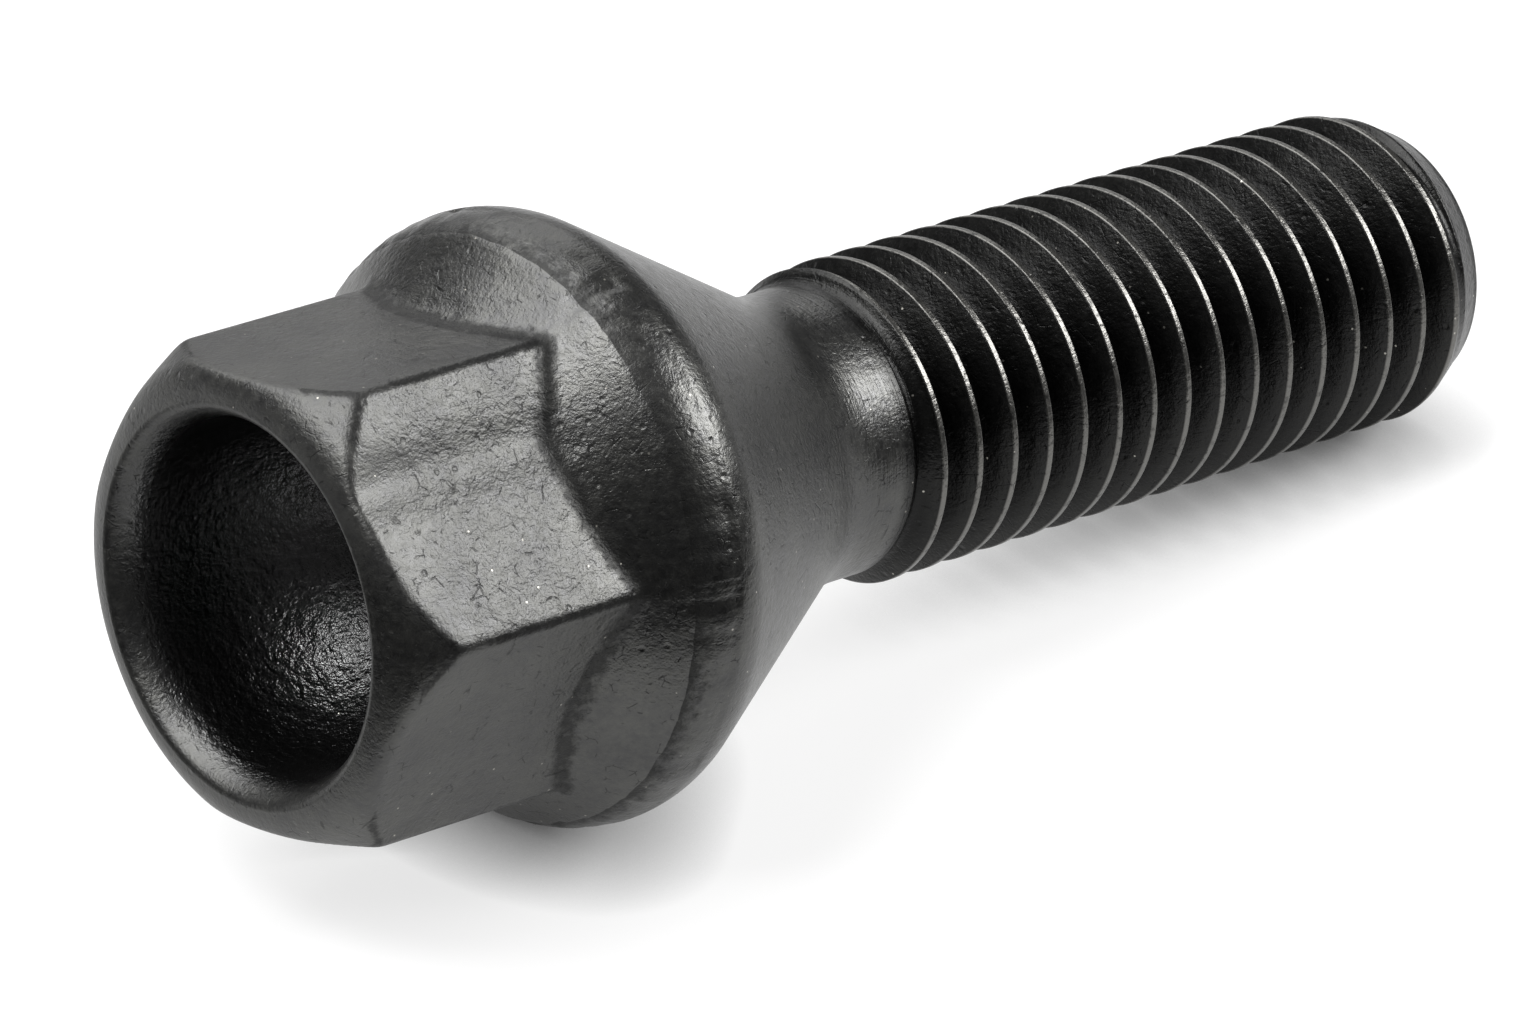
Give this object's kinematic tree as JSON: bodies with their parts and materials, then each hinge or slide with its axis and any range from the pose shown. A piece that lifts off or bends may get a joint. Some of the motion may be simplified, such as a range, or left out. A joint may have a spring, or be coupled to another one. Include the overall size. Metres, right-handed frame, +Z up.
{
  "type": "wheel bolt",
  "caption": "Conical-seat wheel bolt with a hollow hex head, a flared collar, a waisted neck and a coarse thread, standing on its head.",
  "frame": {"origin": "on the floor, on the bolt's axis, in the plane of the head's front rim", "axes": "+Z up, from the head towards the thread end; +X towards a corner of the hex; +Y to the side"},
  "size_m": [0.0226, 0.0226, 0.0566],
  "materials": {
    "steel": "black phosphated forged steel, satin"
  },
  "bodies": {
    "root": {"wheel_bolt": "steel"}
  },
  "joints": []
}
